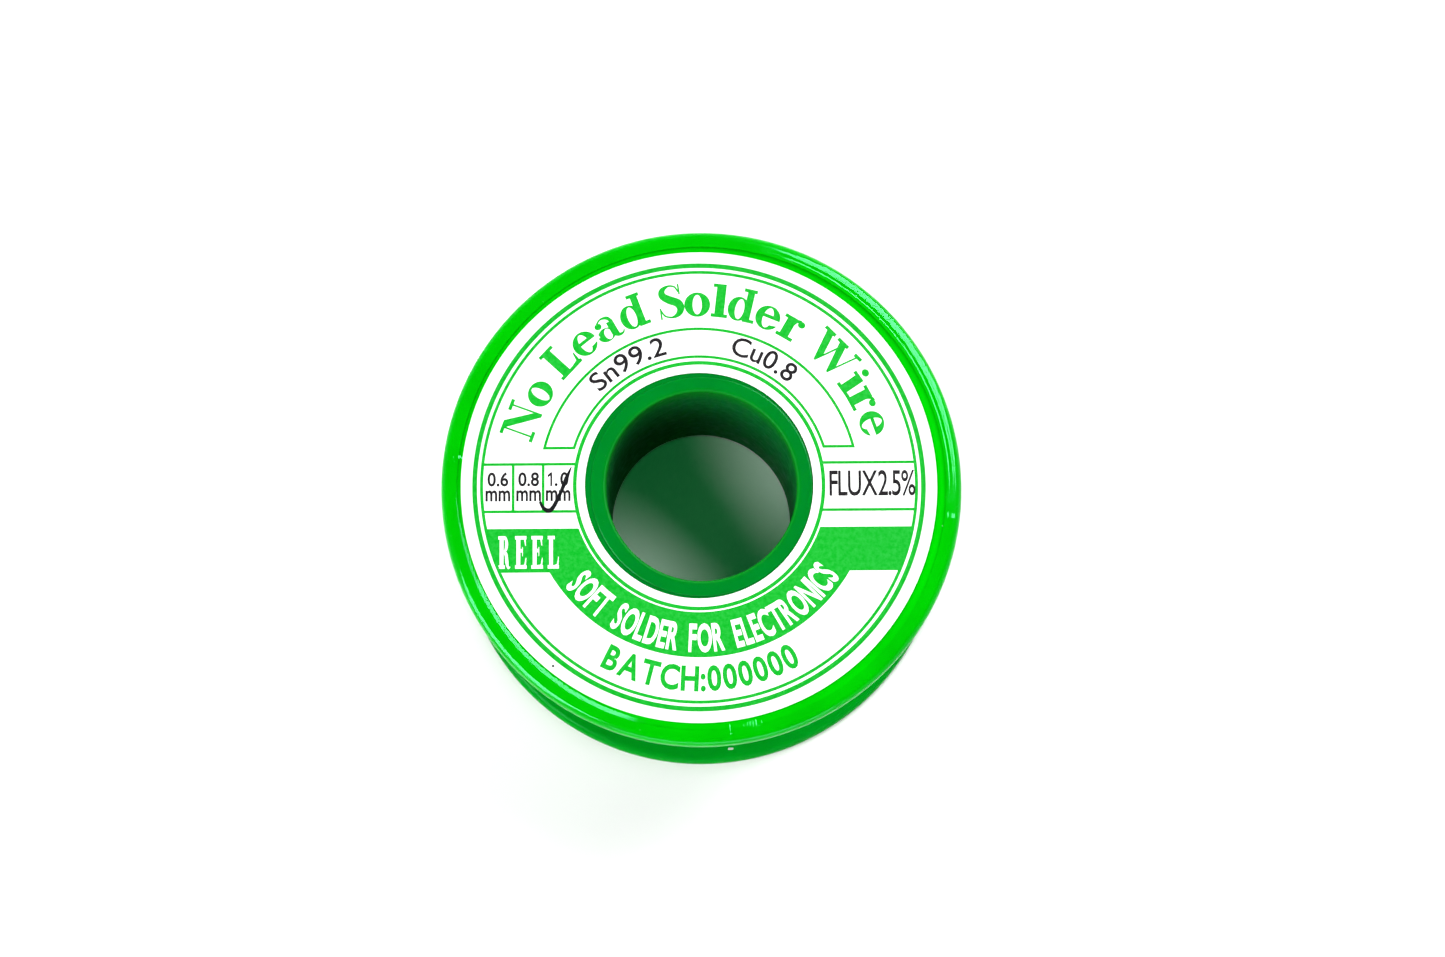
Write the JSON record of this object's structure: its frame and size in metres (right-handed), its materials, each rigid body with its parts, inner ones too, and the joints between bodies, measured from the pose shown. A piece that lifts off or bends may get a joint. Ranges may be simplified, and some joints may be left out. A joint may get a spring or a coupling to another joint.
{
  "type": "solder wire spool",
  "caption": "Flanged plastic spool full of flux-cored solder wire, with a round bore, a printed face label and a clear shrink band.",
  "frame": {"origin": "on the spool's axis, in the plane that the spool rests on when its labelled face is up", "axes": "+Z along the axis, out of the labelled front face; +Y towards the top of the label; +X to the label's right"},
  "size_m": [0.055, 0.055, 0.0275],
  "materials": {
    "core_plastic": "satin moulded",
    "flange_plastic": "satin moulded, slightly translucent",
    "label_paper": "printed, gloss coated",
    "clear_film": "clear, glossy",
    "solder_alloy": "bright drawn tin alloy",
    "rosin_flux": "amber rosin"
  },
  "bodies": {
    "root": {"core_tube": "core_plastic", "front_flange": "flange_plastic", "rear_flange": "flange_plastic", "front_label": "label_paper", "shrink_film": "clear_film", "wire_layer_01": "solder_alloy", "wire_layer_02": "solder_alloy", "wire_layer_03": "solder_alloy", "wire_layer_04": "solder_alloy", "wire_layer_05": "solder_alloy", "wire_layer_06": "solder_alloy", "wire_layer_07": "solder_alloy", "wire_layer_08": "solder_alloy", "wire_start_end": "solder_alloy", "flux_core_start": "rosin_flux", "wire_free_end": "solder_alloy", "flux_core_end": "rosin_flux"}
  },
  "joints": []
}
